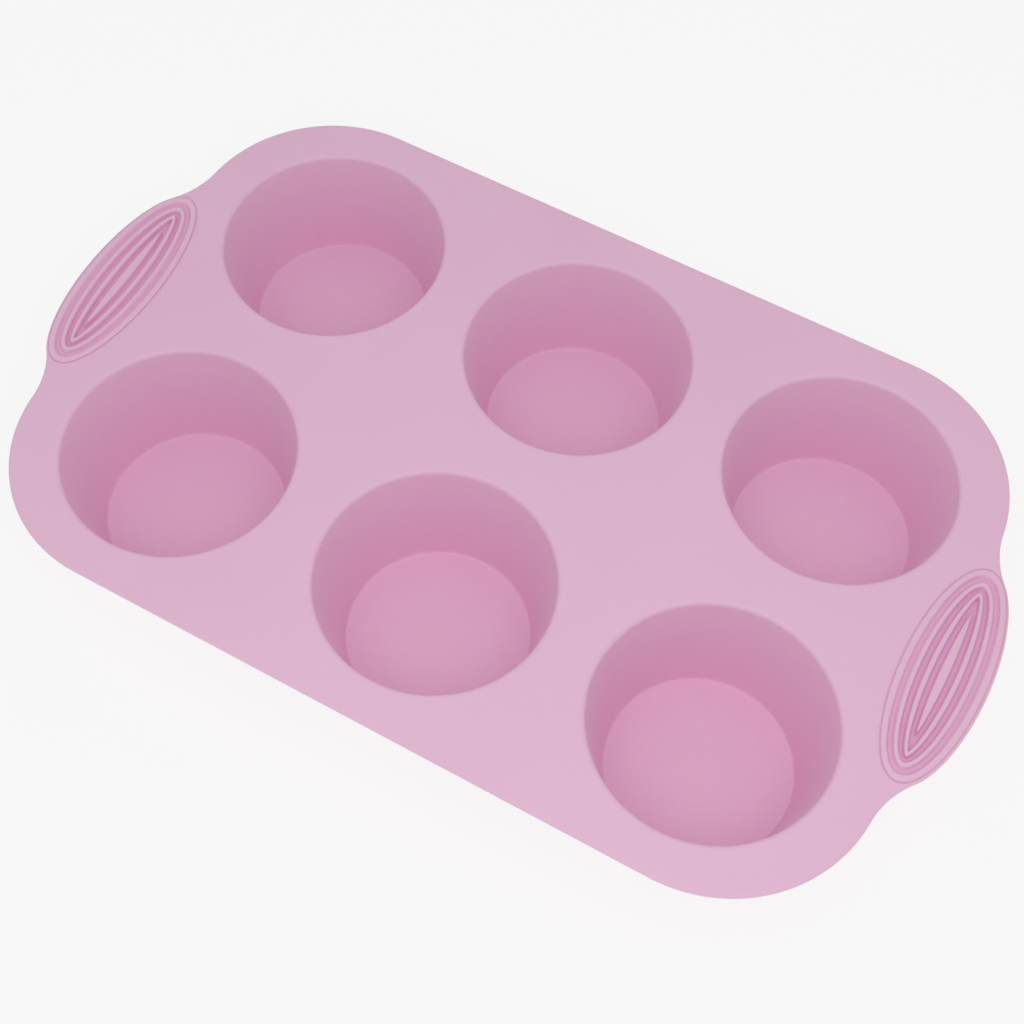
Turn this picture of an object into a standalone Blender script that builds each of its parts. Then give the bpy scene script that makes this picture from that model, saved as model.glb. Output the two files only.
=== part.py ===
"""Six-cup silicone soap mould: a flat deck that carries two rows of tapered round cups and ends in two ribbed
handle flaps.

The real mould is one flexible moulding. Here it is divided along the lines where it flexes: the deck folds
between its columns of cups, each handle flap bends just outside the end cups, and each cup's floor is pushed
up inside its wall. Lengths are in metres, +Z is up, X runs along the mould and the origin is on the table
under the middle of the deck.
"""

import math

import bmesh
import bpy

MM = 0.001

# Cups
MOUTH_RADIUS = 35.1 * MM  # inside, where the wall would meet the deck's top if the lip were sharp
COLUMN_WEB = 17.3 * MM  # deck between the mouths of neighbouring columns
ROW_WEB = 17.3 * MM  # deck between the mouths of the two rows
FLOOR_RADIUS = 28.0 * MM
CUP_DEPTH = 37.5 * MM
WALL = 1.5 * MM
FLOOR_THICKNESS = 1.5 * MM
LIP_ROUND = 1.5 * MM
LIP_LAND = 0.3 * MM  # flat ring that belongs to the cup, outside the rounded lip
FOOT_ROUND = 0.8 * MM

# Deck
DECK_THICKNESS = 2.0 * MM
SIDE_MARGIN = 12.3 * MM  # from a cup's mouth to the long side
END_MARGIN = 14.0 * MM  # from a cup's mouth to the short side
CORNER_RADIUS = 45.3 * MM
EDGE_ROUND = 0.8 * MM

# Handles
PAD_HALF_WIDTH = 12.1 * MM
PAD_HALF_LENGTH = 36.0 * MM
PAD_RIM = 0.9 * MM  # plain edge left round the outer side of the pad
PAD_HEIGHT = 0.6 * MM
HANDLE_REACH = 14.1 * MM  # how far the handle stands out past the short side
NOTCH_RADIUS = 28.0 * MM
GROOVES = 3
GROOVE_MARGIN = 2.1 * MM  # from the pad's edge to the first groove
GROOVE_LAND = 1.0 * MM  # least pad left between the first groove and the pad's straight side
GROOVE_WIDTH = 1.8 * MM
GROOVE_PITCH = 3.5 * MM
GROOVE_DEPTH = 1.5 * MM

# Fits
CLEARANCE = 0.3 * MM
END_BRIDGE = 0.8 * MM  # deck left between an end cup and the line where the handle flap bends
PAD_SETBACK = 0.5 * MM  # from that line to the pad, so that the flap can bend up

# Facets
ROUND_STEPS = 48
OVAL_STEPS = 40
ARC_STEPS = 12
LIP_STEPS = 4
FOOT_STEPS = 2
EDGE_STEPS = 2
CUT_MARGIN = 1.0 * MM  # how far a cutter passes the face that it enters
SHORTEST_SIDE = 1.5 * MM  # outline points nearer than this to a cut are left out, or they stop the rounding

# Worked out from the sizes above
COLUMN_PITCH = 2 * MOUTH_RADIUS + COLUMN_WEB
ROW_PITCH = 2 * MOUTH_RADIUS + ROW_WEB
TOP = FLOOR_THICKNESS + CUP_DEPTH
DECK_BOTTOM = TOP - DECK_THICKNESS
HALF_THICKNESS = DECK_THICKNESS / 2
DECK_MIDDLE = TOP - HALF_THICKNESS
TAPER = math.atan2(MOUTH_RADIUS - FLOOR_RADIUS, CUP_DEPTH)
TANGENT_SHIFT = 1 / math.cos(TAPER) - math.tan(TAPER)
LIP_RADIUS = MOUTH_RADIUS + LIP_ROUND * TANGENT_SHIFT
CUP_RIM_RADIUS = LIP_RADIUS + LIP_LAND
DECK_HOLE_RADIUS = CUP_RIM_RADIUS + CLEARANCE
SIDE_CUP_Y = ROW_PITCH / 2
BODY_HALF_LENGTH = COLUMN_PITCH + MOUTH_RADIUS + END_MARGIN
BODY_HALF_WIDTH = SIDE_CUP_Y + MOUTH_RADIUS + SIDE_MARGIN
HANDLE_HALF_WIDTH = PAD_HALF_WIDTH + PAD_RIM
HANDLE_HALF_LENGTH = PAD_HALF_LENGTH + PAD_RIM
HANDLE_X = BODY_HALF_LENGTH + HANDLE_REACH - HANDLE_HALF_WIDTH

# A bending line runs down the centre of the rounded edge beyond it, so the gap stays even as it turns.
FOLD_X = COLUMN_PITCH / 2
MIDDLE_END = FOLD_X - HALF_THICKNESS - CLEARANCE
SIDE_START = FOLD_X - HALF_THICKNESS
SIDE_END = COLUMN_PITCH + DECK_HOLE_RADIUS + END_BRIDGE
FLAP_START = SIDE_END + CLEARANCE
BEND_X = FLAP_START + HALF_THICKNESS
PAD_X = HANDLE_X - BEND_X  # the pad's centre, from the bending line

SIDES = {"right": 1, "left": -1}
ROWS = {"front": -1, "back": 1}


def clear_scene():
    for old in list(bpy.data.objects):
        bpy.data.objects.remove(old)


def new_collection(name):
    made = bpy.data.collections.new(name)
    bpy.context.scene.collection.children.link(made)
    return made


def silicone(name, colour):
    made = bpy.data.materials.new(name)
    made.use_nodes = True
    shader = made.node_tree.nodes["Principled BSDF"]
    shader.inputs["Base Color"].default_value = (*colour, 1.0)
    shader.inputs["Roughness"].default_value = 0.55
    shader.inputs["Metallic"].default_value = 0.0
    return made


# Outlines


def arc(centre, radius, start, end, steps):
    """Points on a circular arc, both ends included."""
    turns = [start + (end - start) * i / steps for i in range(steps + 1)]
    return [(centre[0] + radius * math.cos(t), centre[1] + radius * math.sin(t)) for t in turns]


def handle_edge(turn, outside=0.0):
    """A point on the handle's oval edge, or that far outside it along the edge's normal."""
    x, y = HANDLE_HALF_WIDTH * math.cos(turn), HANDLE_HALF_LENGTH * math.sin(turn)
    normal = (math.cos(turn) / HANDLE_HALF_WIDTH, math.sin(turn) / HANDLE_HALF_LENGTH)
    size = math.hypot(*normal)
    return (HANDLE_X + x + outside * normal[0] / size, y + outside * normal[1] / size)


def notch_turn(corner):
    """Where the notch's arc leaves the handle's oval, so that it also just touches the corner's arc."""
    low, high = 0.0, math.pi / 2
    for _ in range(50):
        turn = (low + high) / 2
        if math.dist(handle_edge(turn, NOTCH_RADIUS), corner) > CORNER_RADIUS + NOTCH_RADIUS:
            low = turn
        else:
            high = turn
    return turn


def back_edge():
    """The mould's edge from the middle of the back, round the corner and the notch, to the handle's tip."""
    corner = (BODY_HALF_LENGTH - CORNER_RADIUS, BODY_HALF_WIDTH - CORNER_RADIUS)
    turn = notch_turn(corner)
    notch = handle_edge(turn, NOTCH_RADIUS)
    touch = handle_edge(turn)
    corner_end = math.atan2(notch[1] - corner[1], notch[0] - corner[0])
    notch_end = math.atan2(touch[1] - notch[1], touch[0] - notch[0]) % math.tau
    points = [(0.0, BODY_HALF_WIDTH)]
    points += arc(corner, CORNER_RADIUS, math.pi / 2, corner_end, ARC_STEPS)
    points += arc(notch, NOTCH_RADIUS, corner_end + math.pi, notch_end, ARC_STEPS // 2)[1:]
    points += [handle_edge(turn * (1 - i / ARC_STEPS)) for i in range(1, ARC_STEPS + 1)]
    return points


def cut_line(points, x):
    """The outline's points before and after the line at x, each part with the point on that line."""
    for i, (a, b) in enumerate(zip(points, points[1:])):
        if a[0] <= x < b[0]:
            share = (x - a[0]) / (b[0] - a[0])
            crossing = (x, a[1] + share * (b[1] - a[1]))
            before = [point for point in points[: i + 1] if math.dist(point, crossing) > SHORTEST_SIDE]
            after = [point for point in points[i + 1 :] if math.dist(point, crossing) > SHORTEST_SIDE]
            return before + [crossing], [crossing] + after
    raise ValueError("the line misses the outline")


def both_edges(points, axis_x):
    """A closed loop from the back edge and its mirror image, measured from the bending line at axis_x."""
    back = [(x - axis_x, y) for x, y in points]
    front = [(x, -y) for x, y in reversed(back) if y > 0]
    return back + front


def oval(low_x, high_x, half_length, power=1.0):
    """A long oval between two lines, in the handle's frame. A higher power points its ends."""
    centre, half_width = (low_x + high_x) / 2, (high_x - low_x) / 2
    loop = []
    for i in range(OVAL_STEPS):
        turn = math.tau * i / OVAL_STEPS
        across = math.cos(turn)
        x = centre + half_width * math.copysign(abs(across) ** power, across)
        loop.append((x, half_length * math.sin(turn)))
    return loop


def pad_loop():
    """The pad's oval, cut off square beside the bending line."""
    loop = oval(PAD_X - PAD_HALF_WIDTH, PAD_X + PAD_HALF_WIDTH, PAD_HALF_LENGTH)
    return [(max(x, PAD_SETBACK), y) for x, y in loop]


def groove_rings():
    """The outer and the inner edge of each ring groove, more pointed towards the middle of the pad."""
    for ring in range(GROOVES):
        edges = []
        for across in (0.0, GROOVE_WIDTH):
            inside = ring * GROOVE_PITCH + across
            half_width = PAD_HALF_WIDTH - GROOVE_MARGIN - inside
            half_length = PAD_HALF_LENGTH - GROOVE_MARGIN - inside
            low_x = max(PAD_X - half_width, PAD_SETBACK + GROOVE_LAND + inside)
            edges.append(oval(low_x, PAD_X + half_width, half_length, 1 + 0.15 * ring))
        yield edges


# Solids


def add_object(name, mesh, collection, location=(0, 0, 0), parent=None):
    made = bpy.data.objects.new(name, mesh)
    made.location = location
    made.parent = parent
    collection.objects.link(made)
    return made


def make_helper(made):
    made.hide_render = True
    made.display_type = "WIRE"
    return made


def plate_mesh(name, loop, low, high, material):
    """A flat plate between two heights, with the outline that the closed loop gives."""
    curve = bpy.data.curves.new(name, "CURVE")
    curve.dimensions = "2D"
    curve.fill_mode = "BOTH"
    curve.extrude = (high - low) / 2
    spline = curve.splines.new("POLY")
    spline.points.add(len(loop) - 1)
    spline.use_cyclic_u = True
    for point, (x, y) in zip(spline.points, loop):
        point.co = (x, y, 0, 1)
    flat = bpy.data.objects.new(name, curve)
    bpy.context.scene.collection.objects.link(flat)
    graph = bpy.context.evaluated_depsgraph_get()
    mesh = bpy.data.meshes.new_from_object(flat.evaluated_get(graph))
    bpy.data.objects.remove(flat)
    work = bmesh.new()
    work.from_mesh(mesh)
    bmesh.ops.remove_doubles(work, verts=work.verts, dist=0.001 * MM)
    bmesh.ops.dissolve_limit(work, angle_limit=0.01, verts=work.verts, edges=work.edges)
    bmesh.ops.recalc_face_normals(work, faces=work.faces)
    bmesh.ops.translate(work, verts=work.verts, vec=(0, 0, (low + high) / 2))
    work.to_mesh(mesh)
    work.free()
    mesh.materials.append(material)
    return mesh


def ring_mesh(name, rings, low, high, material):
    """Upright walls on a plan of rings, each given by its outer and its inner edge."""
    work = bmesh.new()
    for edges in rings:
        rim = []
        for loop in edges:
            points = [work.verts.new((x, y, low)) for x, y in loop]
            rim += [work.edges.new(pair) for pair in zip(points, points[1:] + points[:1])]
        bmesh.ops.bridge_loops(work, edges=rim)
    raised = bmesh.ops.extrude_face_region(work, geom=list(work.faces), use_keep_orig=True)["geom"]
    moved = [item for item in raised if isinstance(item, bmesh.types.BMVert)]
    bmesh.ops.translate(work, verts=moved, vec=(0, 0, high - low))
    bmesh.ops.recalc_face_normals(work, faces=work.faces)
    mesh = bpy.data.meshes.new(name)
    work.to_mesh(mesh)
    work.free()
    mesh.materials.append(material)
    return mesh


def profile_mesh(name, points, closed, material):
    """Edges through points given as (radius, height), for a Screw modifier."""
    count = len(points)
    edges = [(i, (i + 1) % count) for i in range(count if closed else count - 1)]
    mesh = bpy.data.meshes.new(name)
    mesh.from_pydata([(radius, 0, height) for radius, height in points], edges, [])
    mesh.materials.append(material)
    return mesh


def turn_profile(made):
    screw = made.modifiers.new("turn", "SCREW")
    screw.axis = "Z"
    screw.steps = ROUND_STEPS
    screw.render_steps = ROUND_STEPS
    screw.use_merge_vertices = True
    screw.merge_threshold = 0.001 * MM
    screw.use_smooth_shade = True


def round_edges(made):
    bevel = made.modifiers.new("edge", "BEVEL")
    bevel.width = EDGE_ROUND
    bevel.segments = EDGE_STEPS
    bevel.limit_method = "ANGLE"
    bevel.angle_limit = math.radians(60)


def combine(made, other, operation):
    boolean = made.modifiers.new(other.name, "BOOLEAN")
    boolean.operation = operation
    boolean.object = other


# Pieces


def inner_radius(height):
    return MOUTH_RADIUS - (TOP - height) * math.tan(TAPER)


def outer_radius(height):
    return inner_radius(height) + WALL / math.cos(TAPER)


def wall_profile():
    """The cup wall's section: rim, outer side, rounded foot, seat for the floor, inner side, rounded lip."""
    foot_centre = (outer_radius(0) - FOOT_ROUND * TANGENT_SHIFT, FOOT_ROUND)
    lip_centre = (LIP_RADIUS, TOP - LIP_ROUND)
    points = [(CUP_RIM_RADIUS, TOP), (CUP_RIM_RADIUS, DECK_BOTTOM), (outer_radius(DECK_BOTTOM), DECK_BOTTOM)]
    points += arc(foot_centre, FOOT_ROUND, -TAPER, -math.pi / 2, FOOT_STEPS)
    points += [(FLOOR_RADIUS, 0), (FLOOR_RADIUS, FLOOR_THICKNESS)]
    points += arc(lip_centre, LIP_ROUND, math.pi - TAPER, math.pi / 2, LIP_STEPS)
    return points


def floor_profile():
    edge = FLOOR_RADIUS - CLEARANCE
    return [(0, FLOOR_THICKNESS), (edge, FLOOR_THICKNESS), (edge, 0), (0, 0)]


class Mould:
    """The collections, materials and shared meshes that every section of the mould uses."""

    def __init__(self):
        self.parts = new_collection("soap_mould")
        self.helpers = new_collection("cutters")
        self.deck_silicone = silicone("deck_silicone", (0.68, 0.43, 0.57))
        self.cup_silicone = silicone("cup_silicone", (0.62, 0.36, 0.50))
        self.wall = profile_mesh("cup_wall", wall_profile(), True, self.cup_silicone)
        self.floor = profile_mesh("cup_floor", floor_profile(), False, self.cup_silicone)

    def add_cup(self, name, deck, place, parent=None):
        """A wall that stays with its deck, the hole it fills there, and a floor that slides up inside it."""
        foot = (*place, -DECK_MIDDLE if parent else 0.0)
        turn_profile(add_object(f"{name}_wall", self.wall, self.parts, foot, parent))
        turn_profile(add_object(f"{name}_floor", self.floor, self.parts, foot, parent))
        bpy.ops.mesh.primitive_cylinder_add(
            vertices=ROUND_STEPS, radius=DECK_HOLE_RADIUS, depth=DECK_THICKNESS + 2 * CUT_MARGIN
        )
        cutter = make_helper(bpy.context.object)
        cutter.name = f"{name}_hole"
        cutter.parent = parent
        cutter.location = (*place, foot[2] + DECK_MIDDLE)
        for owner in list(cutter.users_collection):
            owner.objects.unlink(cutter)
        self.helpers.objects.link(cutter)
        combine(deck, cutter, "DIFFERENCE")

    def add_middle(self):
        corners = [(MIDDLE_END, BODY_HALF_WIDTH), (-MIDDLE_END, BODY_HALF_WIDTH)]
        loop = corners + [(-x, -y) for x, y in corners]
        mesh = plate_mesh("deck_middle", loop, DECK_BOTTOM, TOP, self.deck_silicone)
        deck = add_object("deck_middle", mesh, self.parts)
        round_edges(deck)
        for row, sign in ROWS.items():
            self.add_cup(f"cup_middle_{row}", deck, (0.0, sign * SIDE_CUP_Y))

    def add_side(self, side, direction):
        """The deck beyond a fold, with two cups and a handle. The left side is the right one turned round."""
        fold = add_object(f"fold_{side}", None, self.parts, (direction * FOLD_X, 0, DECK_MIDDLE))
        fold.rotation_euler.z = 0.0 if direction > 0 else math.pi
        _, beyond = cut_line(back_edge(), SIDE_START)
        edge, _ = cut_line(beyond, SIDE_END)
        name = f"deck_{side}"
        loop = both_edges(edge, FOLD_X)
        mesh = plate_mesh(name, loop, -HALF_THICKNESS, HALF_THICKNESS, self.deck_silicone)
        deck = add_object(name, mesh, self.parts, parent=fold)
        round_edges(deck)
        for row, sign in ROWS.items():
            place = (COLUMN_PITCH - FOLD_X, direction * sign * SIDE_CUP_Y)
            self.add_cup(f"cup_{side}_{row}", deck, place, fold)
        self.add_handle(side, fold)

    def add_handle(self, side, fold):
        """An end flap with its raised, grooved pad."""
        bend = add_object(f"bend_{side}", None, self.parts, (BEND_X - FOLD_X, 0, 0), fold)
        _, edge = cut_line(back_edge(), FLAP_START)
        name = f"handle_{side}"
        loop = both_edges(edge, BEND_X)
        flap_mesh = plate_mesh(name, loop, -HALF_THICKNESS, HALF_THICKNESS, self.deck_silicone)
        flap = add_object(name, flap_mesh, self.parts, parent=bend)
        round_edges(flap)
        pad_top = HALF_THICKNESS + PAD_HEIGHT
        pad_mesh = plate_mesh(f"pad_{side}", pad_loop(), 0, pad_top, self.deck_silicone)
        pad = make_helper(add_object(f"pad_{side}", pad_mesh, self.helpers, parent=bend))
        combine(flap, pad, "UNION")
        low, high = pad_top - GROOVE_DEPTH, pad_top + CUT_MARGIN
        groove_mesh = ring_mesh(f"grooves_{side}", groove_rings(), low, high, self.deck_silicone)
        grooves = make_helper(add_object(f"grooves_{side}", groove_mesh, self.helpers, parent=bend))
        combine(flap, grooves, "DIFFERENCE")


def main():
    clear_scene()
    mould = Mould()
    mould.add_middle()
    for side, direction in SIDES.items():
        mould.add_side(side, direction)


main()
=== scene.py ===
import math

import bmesh
import bpy
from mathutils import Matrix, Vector


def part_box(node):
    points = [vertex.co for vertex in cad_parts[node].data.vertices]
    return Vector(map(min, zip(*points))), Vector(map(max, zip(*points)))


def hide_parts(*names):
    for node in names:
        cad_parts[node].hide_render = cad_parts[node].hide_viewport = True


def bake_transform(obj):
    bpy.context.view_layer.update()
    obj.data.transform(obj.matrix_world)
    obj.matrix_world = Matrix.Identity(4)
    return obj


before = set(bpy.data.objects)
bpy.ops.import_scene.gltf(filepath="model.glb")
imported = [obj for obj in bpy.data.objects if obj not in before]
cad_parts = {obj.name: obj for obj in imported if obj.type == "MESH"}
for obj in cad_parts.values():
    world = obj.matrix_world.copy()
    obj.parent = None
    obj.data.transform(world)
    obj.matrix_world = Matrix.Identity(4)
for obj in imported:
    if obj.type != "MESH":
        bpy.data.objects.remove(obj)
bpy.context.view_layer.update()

mm = 0.001
weld = 0.001 * mm  # points nearer than this are one


print("frame loaded")

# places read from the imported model
deckLow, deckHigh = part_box("deck_middle")
deckBottom, deckTop, halfWidth = deckLow.z, deckHigh.z, deckHigh.y
deckMid = (deckBottom + deckTop) / 2
cupLow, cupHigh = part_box("cup_right_front_wall")
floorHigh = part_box("cup_right_front_floor")[1]
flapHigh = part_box("handle_right")[1]
columnX = (cupLow.x + cupHigh.x) / 2
rowY = abs(cupLow.y + cupHigh.y) / 2
halfGap = 0.15 * mm
cupRing = (cupHigh.x - cupLow.x) / 2 + halfGap  # middle of the gap round a cup's rim


# modelling helpers


def only(obj):
    # deselects everything, then makes this object the one that operators work on
    for other in bpy.context.selected_objects:
        other.select_set(False)
    obj.select_set(True)
    bpy.context.view_layer.objects.active = obj


def edit(obj, mode="VERT"):
    only(obj)
    bpy.ops.object.mode_set(mode="EDIT")
    bpy.ops.mesh.select_mode(type=mode)


def leave():
    bpy.ops.object.mode_set(mode="OBJECT")


def pick(obj, test, kind="edges"):
    # selects, in edit mode, the edges or faces for which the test holds
    bpy.ops.mesh.select_all(action="DESELECT")
    mesh = bmesh.from_edit_mesh(obj.data)
    for item in getattr(mesh, kind):
        if test(item):
            item.select_set(True)
    bmesh.update_edit_mesh(obj.data)


def applyModifier(obj, kind, **settings):
    only(obj)
    modifier = obj.modifiers.new(kind.lower(), kind)
    for name, value in settings.items():
        setattr(modifier, name, value)
    bpy.ops.object.modifier_apply(modifier=modifier.name)


def copyOf(obj, name):
    made = obj.copy()
    made.data = obj.data.copy()
    made.name = made.data.name = name
    bpy.context.collection.objects.link(made)
    return made


def settle(obj, material, smooth=32.0):
    # place goes into the mesh, round stretches are shaded round
    only(obj)
    bpy.ops.object.transform_apply(location=True, rotation=True, scale=True)
    bpy.ops.object.shade_smooth_by_angle(angle=math.radians(smooth))
    obj.data.materials.clear()
    obj.data.materials.append(material)


# the deck, its outline and the two handles
deckShape = {
    "cornerRadius": 45.3 * mm,
    "bodyEnd": 136.6 * mm,  # where the short side would run straight
    "edgeRound": 0.9 * mm,
    "edgeBand": 0.4 * mm,  # flat strip inside the rounded edge
    "edgeSteps": 4,
    "cornerSteps": 40,
    "holeSteps": 128,
    "bendSteps": 12,
    "straight": math.radians(0.5),  # corners flatter than this are dissolved
    "sharp": math.radians(60),  # edges sharper than this are rounded
    "cutDepth": 8 * mm,
}
gripShape = {
    "halfWidth": 13.2 * mm,  # of the handle's oval edge
    "halfLength": 36.9 * mm,
    "notchRadius": 28.0 * mm,
    "rim": 0.7 * mm,  # deck left outside the line round the pad
    "line": 0.45 * mm,  # width of that line, and twice its depth
    "height": 0.55 * mm,
    # each groove: its outer and inner edge as half width, half length and how pointed the ends are,
    # then its depth
    "grooves": [
        ((10.1 * mm, 33.6 * mm, 1.0), (8.2 * mm, 31.4 * mm, 1.05), 1.2 * mm),
        ((6.8 * mm, 29.9 * mm, 1.1), (4.8 * mm, 28.0 * mm, 1.25), 1.6 * mm),
        ((3.3 * mm, 26.4 * mm, 1.4), (1.3 * mm, 20.6 * mm, 1.5), 1.7 * mm),
    ],
    "edgeRound": 0.45 * mm,
    "roundSteps": 4,
    "slope": 0.3 * mm,  # how far a groove's side leans
    "shallow": 0.25 * mm,  # no painted shade above this depth
    "deep": 1.6 * mm,  # the darkest painted shade from this depth on
    "steps": 160,
    "bendReach": 6.5 * mm,  # how far past the seam the flap gets rows of edges
}
gripX = flapHigh.x - gripShape["halfWidth"]
holeHalfWidth = gripShape["halfWidth"] - gripShape["rim"]
holeHalfLength = gripShape["halfLength"] - gripShape["rim"]
seamX = (columnX + cupRing + gripX - holeHalfWidth) / 2  # between the end cups' rims and the pads


def arc(centre, radius, start, end, steps):
    turns = [start + (end - start) * i / steps for i in range(steps + 1)]
    return [(centre[0] + radius * math.cos(t), centre[1] + radius * math.sin(t)) for t in turns]


def gripEdge(turn, outside=0.0):
    # a point of the handle's oval, or that far outside it
    a, b = gripShape["halfWidth"], gripShape["halfLength"]
    normal = Vector((math.cos(turn) / a, math.sin(turn) / b)).normalized() * outside
    return (gripX + a * math.cos(turn) + normal.x, b * math.sin(turn) + normal.y)


def quarterEdge():
    # from the long side, round the corner and the hollow notch, out to the handle's tip
    corner = (deckShape["bodyEnd"] - deckShape["cornerRadius"], halfWidth - deckShape["cornerRadius"])
    reach = deckShape["cornerRadius"] + gripShape["notchRadius"]
    low, high = 0.0, math.pi / 2
    for _ in range(50):  # halves the span until the notch touches the corner
        turn = (low + high) / 2
        if math.dist(gripEdge(turn, gripShape["notchRadius"]), corner) > reach:
            low = turn
        else:
            high = turn
    notch, touch = gripEdge(turn, gripShape["notchRadius"]), gripEdge(turn)
    cornerEnd = math.atan2(notch[1] - corner[1], notch[0] - corner[0])
    notchEnd = math.atan2(touch[1] - notch[1], touch[0] - notch[0]) % math.tau
    steps = deckShape["cornerSteps"]
    points = arc(corner, deckShape["cornerRadius"], math.pi / 2, cornerEnd, steps)
    points += arc(notch, gripShape["notchRadius"], cornerEnd + math.pi, notchEnd, steps // 2)[1:]
    points += [gripEdge(turn * (1 - i / steps)) for i in range(1, steps + 1)]
    return points


def upright(edge):
    a, b = (vert.co for vert in edge.verts)
    return abs(a.z - b.z) > 0.1 * mm


def makePlate():
    # the whole deck with both handles, as one flat sheet with rounded edges
    quarter = quarterEdge()
    half = quarter + [(x, -y) for x, y in reversed(quarter[:-1])]
    loop = half + [(-x, -y) for x, y in half]
    bpy.ops.curve.primitive_bezier_circle_add()
    plate = bpy.context.object
    plate.name = "plate"
    plate.data.splines.clear()
    plate.data.dimensions = "2D"
    plate.data.fill_mode = "BOTH"
    plate.data.extrude = (deckTop - deckBottom) / 2
    spline = plate.data.splines.new("POLY")
    spline.points.add(len(loop) - 1)
    spline.use_cyclic_u = True
    for point, (x, y) in zip(spline.points, loop):
        point.co = (x, y, 0, 1)
    plate.location.z = deckMid
    only(plate)
    bpy.ops.object.convert(target="MESH")
    bpy.ops.object.transform_apply(location=True, rotation=True, scale=True)
    edit(plate)
    bpy.ops.mesh.select_all(action="SELECT")
    bpy.ops.mesh.remove_doubles(threshold=weld)
    bpy.ops.mesh.dissolve_limited(angle_limit=deckShape["straight"])
    bpy.ops.mesh.normals_make_consistent(inside=False)
    bpy.ops.mesh.select_mode(type="FACE")
    pick(plate, lambda face: abs(face.normal.z) > 0.9, "faces")  # the level ones
    bpy.ops.mesh.inset(thickness=deckShape["edgeRound"] + deckShape["edgeBand"], use_boundary=True)
    bpy.ops.mesh.select_mode(type="EDGE")
    pick(plate, lambda edge: edge.calc_face_angle(0) > deckShape["sharp"] and not upright(edge))
    bpy.ops.mesh.bevel(offset=deckShape["edgeRound"], segments=deckShape["edgeSteps"], affect="EDGES")
    leave()
    return plate


def cutOut(obj, x, y, halfX, halfY, steps):
    # takes an upright oval out of a flat piece
    bpy.ops.mesh.primitive_cylinder_add(
        vertices=steps, radius=1, depth=deckShape["cutDepth"], location=(x, y, deckMid)
    )
    cutter = bpy.context.object
    cutter.scale = (halfX, halfY, 1)
    applyModifier(obj, "BOOLEAN", operation="DIFFERENCE", object=cutter, solver="EXACT")
    bpy.data.objects.remove(cutter)


def cutAcross(obj, x, keep=0):
    # cuts across at x; keep is 1 or -1 for the side that stays, 0 for both
    edit(obj)
    bpy.ops.mesh.select_all(action="SELECT")
    bpy.ops.mesh.bisect(
        plane_co=(x, 0, 0), plane_no=(1, 0, 0), use_fill=keep != 0,
        clear_inner=keep > 0, clear_outer=keep < 0, threshold=weld,
    )
    leave()


def makeDeckAndFlaps():
    plate = makePlate()
    for x in (-columnX, 0, columnX):
        for y in (-rowY, rowY):
            cutOut(plate, x, y, cupRing, cupRing, deckShape["holeSteps"])
    for side in (-1, 1):
        cutOut(plate, side * gripX, 0, holeHalfWidth, holeHalfLength, gripShape["steps"])
    foldStart, foldEnd, steps = cupRing, columnX - cupRing, deckShape["bendSteps"]
    pieces = {}
    for name, side in (("Right", 1), ("Left", -1)):
        deck, flap = copyOf(plate, "deck" + name), copyOf(plate, "flap" + name)
        cutAcross(deck, 0, side)
        cutAcross(deck, side * seamX, -side)
        cutAcross(flap, side * seamX, side)
        for i in range(steps + 1):  # rows of edges across the sheet
            cutAcross(deck, side * (foldStart + (foldEnd - foldStart) * i / steps))
            cutAcross(flap, side * (seamX + gripShape["bendReach"] * (i + 1) / (steps + 1)))
        pieces[name] = (deck, flap)
    bpy.data.objects.remove(plate)
    return pieces


def roundedStep(shape, high, low, falling):
    # the rings of one groove side: over the rounded top edge and into the rounded floor, or back up
    width, length, power = shape
    r, steps = gripShape["edgeRound"], gripShape["roundSteps"]
    turns = [math.pi / 2 * i / steps for i in range(steps + 1)]
    top = [(r * (1 - math.sin(t)), high - r * (1 - math.cos(t))) for t in turns]
    bottom = [(-gripShape["slope"] + r * (math.cos(t) - 1), low + r * (1 - math.sin(t))) for t in turns]
    sign = 1 if falling else -1
    rings = [(width + sign * out, length + sign * out, power, z) for out, z in top + bottom]
    return rings if falling else rings[::-1]


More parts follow.
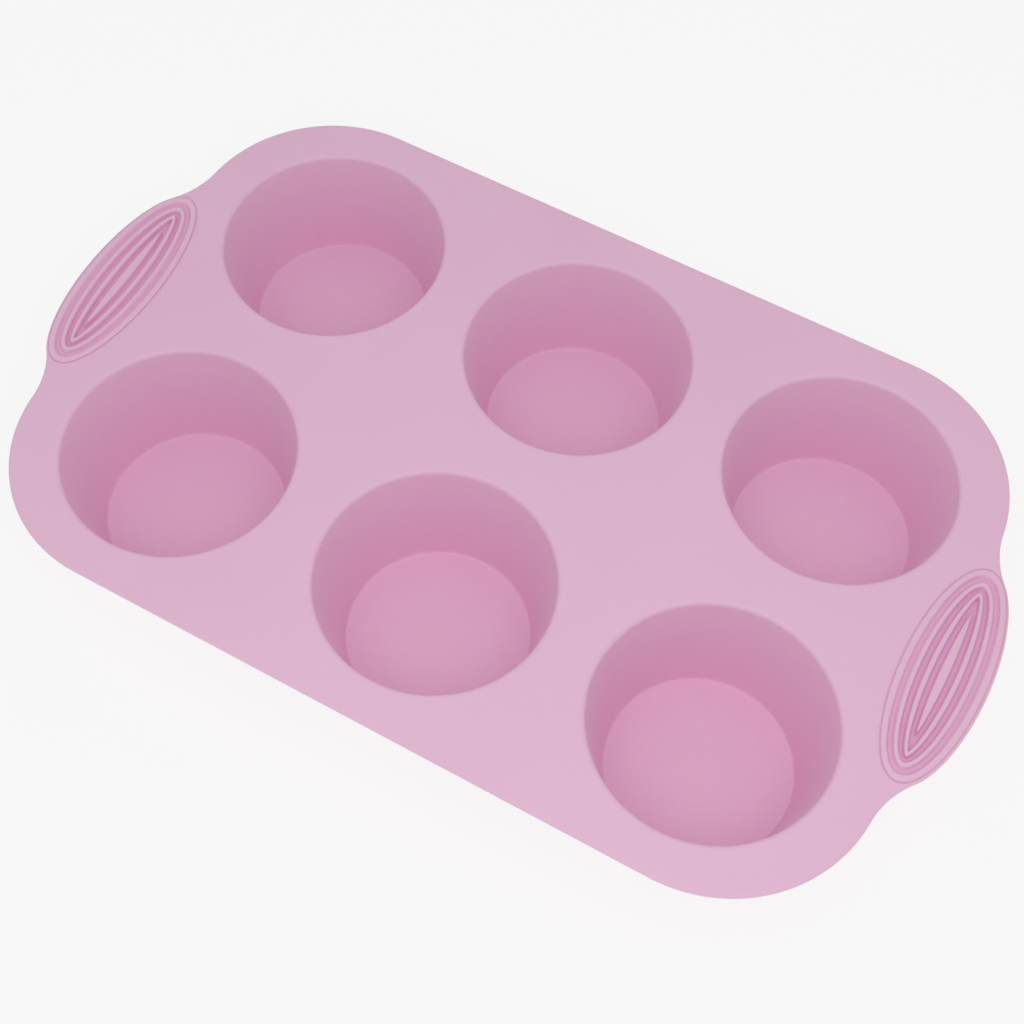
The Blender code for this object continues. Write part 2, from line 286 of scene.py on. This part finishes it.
def makePad(name, side):
    # a raised oval with ring grooves, extruded ring by ring from its underside to the lens in the middle
    top = deckTop + gripShape["height"]
    line, middle = gripShape["line"], side * gripX
    edge = (holeHalfWidth - line, holeHalfLength - line, 1)
    rings = [(holeHalfWidth, holeHalfLength, 1, z) for z in (deckBottom, deckTop - line / 2)]
    rings += [(*edge, deckTop - line / 2)]
    rings += roundedStep(edge, top, deckTop - line / 2, False)[gripShape["roundSteps"] + 1 :]
    for outer, inner, depth in gripShape["grooves"]:
        rings += roundedStep(outer, top, top - depth, True) + roundedStep(inner, top, top - depth, False)
    bpy.ops.mesh.primitive_circle_add(
        vertices=gripShape["steps"], radius=1, fill_type="NGON", location=(middle, 0, deckBottom)
    )
    pad = bpy.context.object
    pad.name = pad.data.name = name
    bpy.ops.object.transform_apply(location=True)
    edit(pad, "FACE")
    bpy.ops.mesh.select_all(action="SELECT")
    lastLength = 1
    for i, (width, length, power, z) in enumerate(rings):
        if i:
            bpy.ops.mesh.extrude_region_move()
        mesh = bmesh.from_edit_mesh(pad.data)
        for vert in mesh.verts:
            if vert.select:
                along = vert.co.y / lastLength
                across = max(0, 1 - along**2) ** (power / 2)
                vert.co = (middle + math.copysign(width * across, vert.co.x - middle), length * along, z)
        bmesh.update_edit_mesh(pad.data)
        lastLength = length
    bpy.ops.mesh.select_all(action="SELECT")
    bpy.ops.mesh.normals_make_consistent(inside=False)
    leave()
    # how deep each point lies below the ridges, for the painted shade that darkens the grooves
    grooveShade = pad.data.attributes.new("grooveShade", "FLOAT", "POINT")
    shallow, deep = gripShape["shallow"], gripShape["deep"]
    for vert in pad.data.vertices:
        depth = top - vert.co.z if vert.co.z > deckBottom + shallow else 0
        grooveShade.data[vert.index].value = min(max((depth - shallow) / (deep - shallow), 0), 1)
    return pad


# the cups
cupShape = {
    "mouthRadius": 35.1 * mm,
    "floorRadius": 28.0 * mm,
    "wall": 1.5 * mm,
    "lipRound": 1.5 * mm,
    "lipSpare": 0.4 * mm,  # straight wall kept below the lip's rounding
    "floorRound": 0.9 * mm,
    "floorRim": 2.0 * mm,  # between the wall and the floor's inner ring
    "footRound": 1.0 * mm,
    "ledgeRound": 0.3 * mm,
    "steps": 128,
    "rings": 14,
}


def onRing(point, radius, z):
    near = 0.01 * mm
    return abs(point.z - z) < near and abs(math.hypot(point.x, point.y) - radius) < 2 * near


def makeCup(name):
    # a turned shape: up the outside, out to the rim, across the lip, down the inside to the floor
    cup = cupShape
    depth = deckTop - floorHigh.z
    taper = math.atan2(cup["mouthRadius"] - cup["floorRadius"], depth)
    outside = cup["wall"] / math.cos(taper)

    def inner(z):
        return cup["mouthRadius"] - (deckTop - z) * math.tan(taper)

    outer = [z / cup["rings"] * deckBottom for z in range(1, cup["rings"] + 1)]
    rings = [(inner(z) + outside, z) for z in outer]
    rings += [(cupRing, deckBottom), (cupRing, deckTop), (cup["mouthRadius"], deckTop)]
    start = deckTop - cup["lipRound"] - cup["lipSpare"]
    down = [start + (floorHigh.z - start) * i / cup["rings"] for i in range(cup["rings"] + 1)]
    rings += [(inner(z), z) for z in down]
    rings += [(cup["floorRadius"] - cup["floorRim"], floorHigh.z)]
    before = (inner(0) + outside, 0.0)
    bpy.ops.mesh.primitive_circle_add(vertices=cup["steps"], radius=before[0], fill_type="NGON")
    made = bpy.context.object
    made.name = made.data.name = name
    edit(made, "FACE")
    bpy.ops.mesh.select_all(action="SELECT")
    for radius, z in rings:
        bpy.ops.mesh.extrude_region_move(TRANSFORM_OT_translate={"value": (0, 0, z - before[1])})
        grow = radius / before[0]
        bpy.ops.transform.resize(value=(grow, grow, 1), center_override=(0, 0, 0))
        before = (radius, z)
    bpy.ops.mesh.select_all(action="SELECT")
    bpy.ops.mesh.normals_make_consistent(inside=False)
    bpy.ops.mesh.select_mode(type="EDGE")
    tangent = 1 / math.cos(taper) - math.tan(taper)  # a rounding's reach along the wall, over its radius
    # each rounded ring: its radius, its height, the rounding's reach and its steps
    rounded = (
        (cup["mouthRadius"], deckTop, cup["lipRound"] * tangent, 7),
        (cup["floorRadius"], floorHigh.z, cup["floorRound"] * tangent, 4),
        (inner(0) + outside, 0.0, cup["footRound"] * tangent, 4),
        (inner(deckBottom) + outside, deckBottom, cup["ledgeRound"], 2),
    )
    for radius, z, offset, steps in rounded:
        pick(made, lambda edge: all(onRing(vert.co, radius, z) for vert in edge.verts))
        bpy.ops.mesh.bevel(offset=offset, segments=steps, affect="EDGES")
    leave()
    return made


# shader maths


class Wire:
    # wraps a socket, so that a value's arithmetic reads as an expression
    tree = None

    def __init__(self, socket):
        self.socket = socket

    @classmethod
    def node(cls, kind, settings=(), inputs=()):
        # inputs are named or numbered, and each is a value or a wire
        made = cls.tree.nodes.new("ShaderNode" + kind)
        for name, value in dict(settings).items():
            setattr(made, name, value)
        for name, value in dict(inputs).items():
            cls.feed(made.inputs[name], value)
        return made

    @classmethod
    def feed(cls, socket, value):
        if isinstance(value, Wire):
            cls.tree.links.new(value.socket, socket)
        else:
            socket.default_value = value

    def math(self, operation, first, second):
        return Wire(Wire.node("Math", {"operation": operation}, {0: first, 1: second}).outputs[0])

    def __add__(self, other):
        return self.math("ADD", self, other)

    def __sub__(self, other):
        return self.math("SUBTRACT", self, other)

    def __mul__(self, other):
        return self.math("MULTIPLY", self, other)

    def __rsub__(self, other):
        return self.math("SUBTRACT", other, self)

    __radd__ = __add__
    __rmul__ = __mul__


siliconeFinish = {
    "colour": (0.900, 0.570, 0.760),
    "deeper": (0.878, 0.538, 0.734),  # where the pigment lies a little thicker
    "grooveShade": (0.83, 0.45, 0.67),  # painted shade down in the grooves of the grips
    "cloud": 45 * mm,
    "cloudColour": 1.4,
    "cloudRoughness": 0.10,
    "speck": 1.6 * mm,
    "speckColour": 0.25,
    "speckRoughness": 0.05,
    "deeperShare": 0.4,
    "roughness": 0.52,
    "grain": 0.35 * mm,
    "grainBump": 0.06 * mm,
    "ripple": 14 * mm,
    "rippleBump": 0.12 * mm,
    "ior": 1.41,
    "sheen": 0.05,
    "sheenRoughness": 0.4,
}


def noise(size, detail=2.0, roughness=0.5):
    # soft noise of about that size, from -0.5 to 0.5
    place = Wire(Wire.node("TexCoord").outputs["Object"])
    inputs = {"Vector": place, "Scale": 1 / size, "Detail": detail, "Roughness": roughness}
    return Wire(Wire.node("TexNoise", inputs=inputs).outputs[0]) - 0.5


def mixed(share, first, second):
    # a colour between two others
    return Wire(Wire.node("Mix", {"data_type": "RGBA"}, {0: share, 6: first, 7: second}).outputs[2])


def silicone():
    finish = siliconeFinish
    made = bpy.data.materials.new("silicone")
    made.use_nodes = True
    Wire.tree = made.node_tree
    shader = made.node_tree.nodes["Principled BSDF"].inputs
    cloud, speck = noise(finish["cloud"], 3.0), noise(finish["speck"])
    share = cloud * finish["cloudColour"] + speck * finish["speckColour"] + finish["deeperShare"]
    share = Wire(Wire.node("Clamp", inputs={"Value": share}).outputs[0])
    # the grooves of the grips get a painted shade, mixed in by how deep they lie
    depth = Wire(Wire.node("Attribute", {"attribute_name": "grooveShade"}).outputs["Fac"])
    colour = mixed(share, (*finish["colour"], 1), (*finish["deeper"], 1))
    Wire.feed(shader["Base Color"], mixed(depth, colour, (*finish["grooveShade"], 1)))
    gloss = cloud * finish["cloudRoughness"] + speck * finish["speckRoughness"]
    Wire.feed(shader["Roughness"], finish["roughness"] + gloss)
    grain, ripple = noise(finish["grain"], 2.0, 0.6), noise(finish["ripple"])
    height = grain * finish["grainBump"] + ripple * finish["rippleBump"]
    bump = Wire.node("Bump", inputs={"Height": height, "Distance": 1.0, "Strength": 1.0})
    Wire.feed(shader["Normal"], Wire(bump.outputs[0]))
    shader["IOR"].default_value = finish["ior"]
    shader["Sheen Weight"].default_value = finish["sheen"]
    shader["Sheen Roughness"].default_value = finish["sheenRoughness"]
    return made


# the mould
material = silicone()
pieces = makeDeckAndFlaps()
print("deck and flaps modelled")
bodies = {-1: "left", 0: "middle", 1: "right"}
rows = {-1: "front", 1: "back"}

for name, side in (("Right", 1), ("Left", -1)):
    deck, flap = pieces[name]
    pad = makePad("pad" + name, side)
    body, handle = bodies[side], "handle_" + bodies[side]
    for piece in (deck, flap, pad):
        settle(piece, material)
    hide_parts("deck_" + body, "deck_middle")
    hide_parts(handle)
    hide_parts(handle)
    bendEnd = seamX + gripShape["bendReach"]
    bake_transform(deck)
    for piece in (flap, pad):
        side * seamX
        side * bendEnd
        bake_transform(piece)
print("pads modelled")

firstCup = makeCup("cup")
for column, body in bodies.items():
    for row, rowName in rows.items():
        cup = copyOf(firstCup, f"cup{body.capitalize()}{rowName.capitalize()}")
        here = (column * columnX, row * rowY)
        cup.location = (*here, 0)
        settle(cup, material)
        node = f"cup_{body}_{rowName}"
        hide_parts(node + "_wall", node + "_floor")
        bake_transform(cup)
bpy.data.objects.remove(firstCup)
print("cups modelled")

# stage, light and camera
stageLook = {
    "floorSize": 12,
    "floorColour": 0.15,
    "floorRoughness": 0.9,
    "floorGlow": 0.82,
    "worldColour": (1.0, 1.0, 1.0),
    "worldStrength": 0.59,
    "wallStrength": 0.90,
    "keyPower": 0.69,
    "keyShine": 2.2,  # how much more it shines than it lights
    "keySize": 0.40,
    "keyFrom": (0.11, -0.20, 0.50),
}
cameraPlace = {
    "lens": 58.75,
    "sensor": 36,
    "nearest": 0.01,
    "across": (0.1151, -0.2201),
    "aboveDeck": 0.4259,
    "turn": (28.567, -0.785, 28.763),  # degrees
}


def makeStage():
    look = stageLook
    bpy.ops.mesh.primitive_plane_add(size=look["floorSize"])
    ground = bpy.context.object
    ground.name = "floor"
    paper = bpy.data.materials.new("paleFloor")
    paper.use_nodes = True
    shader = paper.node_tree.nodes["Principled BSDF"].inputs
    shader["Base Color"].default_value = (*[look["floorColour"]] * 3, 1)
    shader["Roughness"].default_value = look["floorRoughness"]
    shader["Specular IOR Level"].default_value = 0.0
    shader["Emission Color"].default_value = (1, 1, 1, 1)
    shader["Emission Strength"].default_value = look["floorGlow"]
    ground.data.materials.append(paper)
    world = bpy.data.worlds.new("studio")
    bpy.context.scene.world = world
    world.use_nodes = True
    Wire.tree = world.node_tree
    colour = (*look["worldColour"], 1)
    background = world.node_tree.nodes["Background"]
    background.inputs["Color"].default_value = colour
    background.inputs["Strength"].default_value = look["worldStrength"]
    # past the floor's edge the eye sees a paler wall than the one that lights the mould
    wall = Wire.node("Background", inputs={"Color": colour, "Strength": look["wallStrength"]})
    toEye = Wire(Wire.node("LightPath").outputs["Is Camera Ray"])
    both = Wire.node("MixShader", inputs={0: toEye, 1: Wire(background.outputs[0]), 2: Wire(wall.outputs[0])})
    Wire.feed(world.node_tree.nodes["World Output"].inputs["Surface"], Wire(both.outputs[0]))
    key = bpy.data.lights.new("key", "AREA")
    key.energy = look["keyPower"]
    key.size = look["keySize"]
    key.specular_factor = look["keyShine"]
    lamp = bpy.data.objects.new("key", key)
    lamp.location = look["keyFrom"]
    bpy.context.collection.objects.link(lamp)


def makeCamera():
    place = cameraPlace
    data = bpy.data.cameras.new("camera")
    data.lens = place["lens"]
    data.sensor_width = place["sensor"]
    data.clip_start = place["nearest"]
    camera = bpy.data.objects.new("camera", data)
    camera.location = (*place["across"], deckTop + place["aboveDeck"])
    camera.rotation_euler = [math.radians(turn) for turn in place["turn"]]
    bpy.context.collection.objects.link(camera)
    bpy.context.scene.camera = camera


makeStage()
makeCamera()
bpy.context.scene.view_settings.view_transform = "Standard"
print("stage set")
